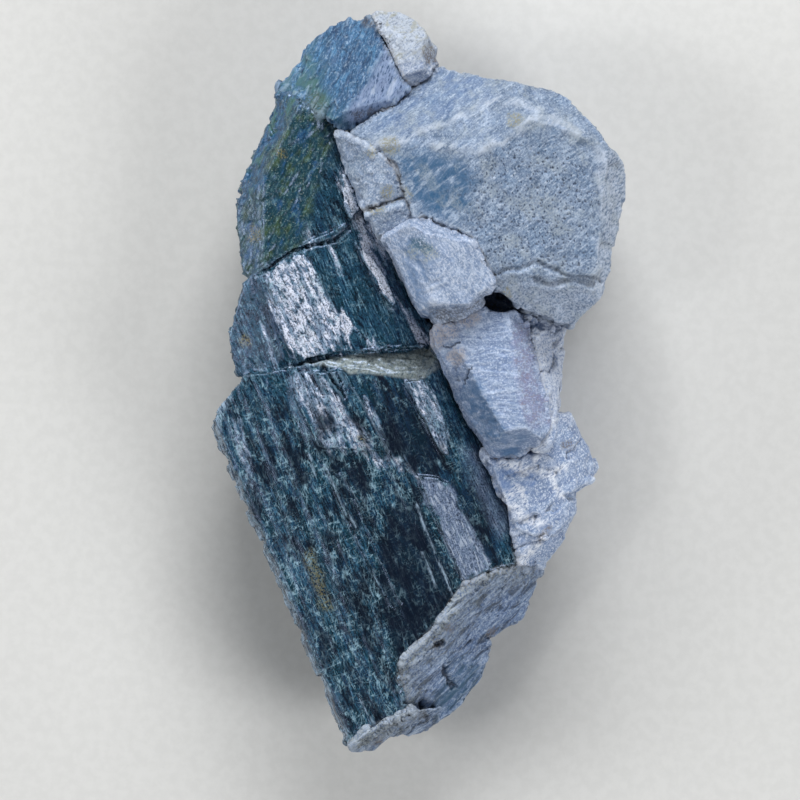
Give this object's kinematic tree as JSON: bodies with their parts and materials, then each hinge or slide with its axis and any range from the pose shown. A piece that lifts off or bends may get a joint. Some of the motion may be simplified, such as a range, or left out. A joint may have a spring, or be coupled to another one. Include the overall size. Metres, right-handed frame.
{
  "type": "apatite crystal specimen",
  "caption": "Mineral specimen of hydroxylapatite: a dark striated flat prism with grey blocky crystals and pale matrix grown along one side.",
  "frame": {"origin": "centre of the bounding box in X and Y, on the resting plane", "axes": "+Z out of the display face, +Y to the capped upper end of the specimen as displayed, +X to the large crystal"},
  "size_m": [0.054, 0.0966, 0.0309],
  "materials": {
    "blade_crystal": "dark blue-green vitreous striated cleavage",
    "top_crystal": "satin blue-grey crystal",
    "cap_crystal": "matt cream weathered crust",
    "large_crystal": "satin pitted lilac-grey crystal",
    "upper_block_crystal": "satin lilac-grey crystal",
    "lower_block_crystal": "satin lilac-grey crystal",
    "middle_crystal": "satin grey crystal with faint ripples",
    "lower_crystal": "satin grey crystal with fine ledges",
    "matrix": "rough broken pale matrix",
    "foot_ledge": "rough broken grey-green mineral"
  },
  "bodies": {
    "root": {"blade_crystal": "blade_crystal", "top_crystal": "top_crystal", "cap_crystal": "cap_crystal", "large_crystal": "large_crystal", "upper_block_crystal": "upper_block_crystal", "lower_block_crystal": "lower_block_crystal", "middle_crystal": "middle_crystal", "lower_crystal": "lower_crystal", "matrix": "matrix", "foot_ledge": "foot_ledge"}
  },
  "joints": []
}
